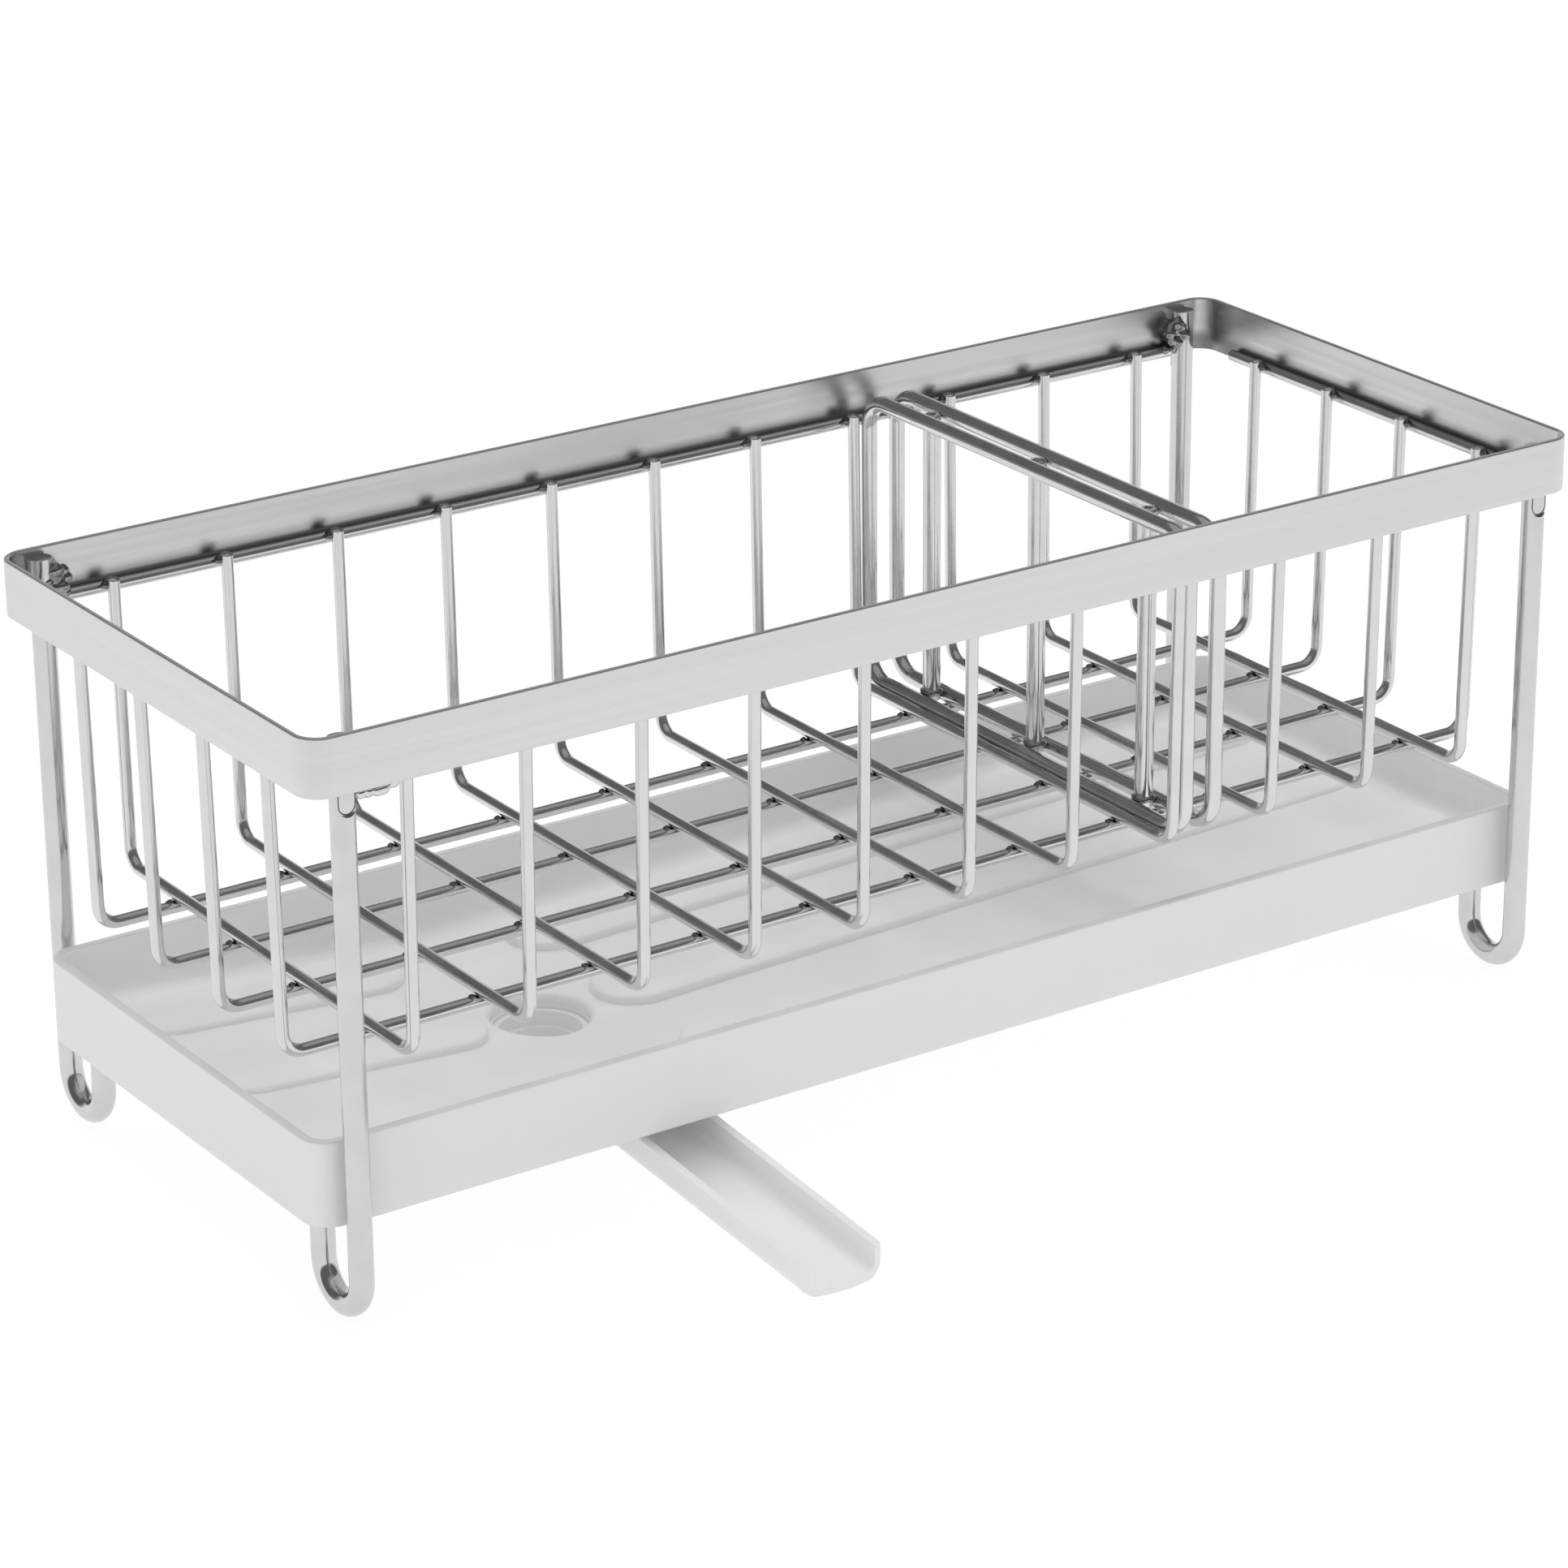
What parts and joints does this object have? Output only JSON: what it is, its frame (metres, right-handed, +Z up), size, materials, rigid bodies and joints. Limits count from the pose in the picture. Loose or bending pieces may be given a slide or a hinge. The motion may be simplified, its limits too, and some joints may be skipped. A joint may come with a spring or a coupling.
{
  "type": "kitchen sink caddy",
  "caption": "Wire basket caddy for a kitchen sink, with a flat steel rim, a lift-out wire divider, looped feet, and a sloped drain tray below with a swivelling spout.",
  "frame": {"origin": "middle of the rectangle of the four feet, on the surface that they stand on", "axes": "+X along the basket towards the end nearer the divider, +Y towards the back, away from the spout at rest, +Z up"},
  "size_m": [0.28, 0.158, 0.112],
  "materials": {
    "band": "finely brushed stainless steel",
    "wire": "polished stainless steel wire",
    "leg": "polished stainless steel rod",
    "divider": "polished stainless steel wire",
    "tray": "light grey moulded plastic, fine matte",
    "spout": "near white moulded plastic, satin"
  },
  "bodies": {
    "basket": {"rim_band": "band", "front_rail": "wire", "back_rail": "wire", "left_rail": "wire", "right_rail": "wire", "cross_hoop_01": "wire", "cross_hoop_02": "wire", "cross_hoop_03": "wire", "cross_hoop_04": "wire", "cross_hoop_05": "wire", "cross_hoop_06": "wire", "cross_hoop_07": "wire", "cross_hoop_08": "wire", "cross_hoop_09": "wire", "cross_hoop_10": "wire", "cross_hoop_11": "wire", "long_hoop_1": "wire", "long_hoop_2": "wire", "long_hoop_3": "wire", "long_hoop_4": "wire", "left_leg_frame": "leg", "right_leg_frame": "leg"},
    "divider": {"divider_loop_left": "divider", "divider_loop_right": "divider", "divider_bar_1": "divider", "divider_bar_2": "divider", "divider_bar_3": "divider"},
    "tray": {"drain_tray": "tray"},
    "spout_arm": {"spout": "spout"}
  },
  "joints": [
    {"name": "divider_lift", "type": "slide", "parent": "basket", "child": "divider", "axis": [0, 0, 1], "range_m": [0, 0.066]},
    {"name": "tray_lift", "type": "slide", "parent": "basket", "child": "tray", "axis": [0, 0, 1], "range_m": [0, 0.0088]},
    {"name": "spout_swivel", "type": "hinge", "parent": "tray", "child": "spout_arm", "pos_m": [-0.0614, 0, 0.018], "axis": [0, 0, 1], "range_deg": [-42, 222]}
  ]
}
